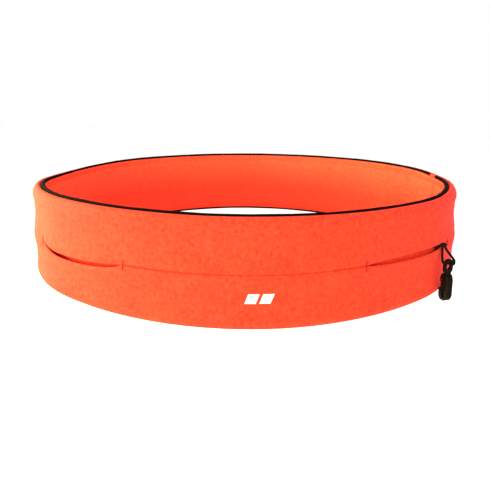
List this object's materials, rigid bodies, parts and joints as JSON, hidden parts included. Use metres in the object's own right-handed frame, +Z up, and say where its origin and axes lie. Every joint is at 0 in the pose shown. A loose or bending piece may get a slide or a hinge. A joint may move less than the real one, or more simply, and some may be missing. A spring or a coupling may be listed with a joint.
{
  "type": "waist pack",
  "caption": "Endless tubular running belt of stretch knit, flared to the hips, with two lengthwise pocket slits, black piping and a swivel key hook on a short flat elastic leash.",
  "frame": {"origin": "centre of the waist opening, at half the band's height", "axes": "+X towards the key hook's side, +Y from the front panel to the back, +Z up towards the narrower edge"},
  "size_m": [0.4066, 0.2741, 0.0826],
  "materials": {
    "outer_knit": "fine orange-red stretch knit",
    "inner_knit": "fine orange-red stretch knit, smooth side",
    "piping": "black elastic piping",
    "seam_thread": "dark red sewing thread",
    "reflective_film": "heat-pressed reflective film",
    "black_webbing": "black woven webbing",
    "leash_cord": "black flat braided elastic",
    "hook_plastic": "moulded black acetal, satin",
    "steel": "plain steel"
  },
  "bodies": {
    "band": {"lining": "inner_knit", "outer_upper_panel": "outer_knit", "outer_lower_panel": "outer_knit", "top_piping": "piping", "bottom_piping": "piping", "front_seam_thread": "seam_thread", "rear_seam_thread": "seam_thread", "upper_topstitch": "seam_thread", "lower_topstitch": "seam_thread", "left_slit_bar_tacks": "seam_thread", "right_slit_bar_tack": "seam_thread", "top_join_wrap": "outer_knit", "bottom_join_wrap": "outer_knit", "side_join_stitching": "seam_thread", "reflective_mark": "reflective_film", "leash_tab": "black_webbing", "leash_bar_tack": "seam_thread"},
    "leash": {"leash_cord": "leash_cord"},
    "eye": {"hook_eye": "hook_plastic"},
    "hook": {"hook_body": "hook_plastic", "gate_pin": "steel"},
    "gate": {"hook_gate": "hook_plastic", "gate_spring": "steel"}
  },
  "joints": [
    {"name": "leash_swing", "type": "hinge", "parent": "band", "child": "leash", "pos_m": [0.15566, -0.08265, 0.00248], "axis": [-0.7944, -0.6074, 0], "range_deg": [0, 85]},
    {"name": "hook_sway", "type": "hinge", "parent": "leash", "child": "eye", "pos_m": [0.15844, -0.08629, -0.01062], "axis": [0.5979, -0.782, 0.1761], "range_deg": [-45, 45]},
    {"name": "hook_swivel", "type": "hinge", "parent": "eye", "child": "hook", "pos_m": [0.15844, -0.08629, -0.01062], "axis": [-0.107, 0.1399, 0.9844], "continuous": true},
    {"name": "gate_open", "type": "hinge", "parent": "hook", "child": "gate", "pos_m": [0.15987, -0.0857, -0.02497], "axis": [-0.9937, -0.049, -0.101], "range_deg": [0, 23], "stiffness_Nm_per_rad": 0.02, "springref_deg": -22.92}
  ]
}
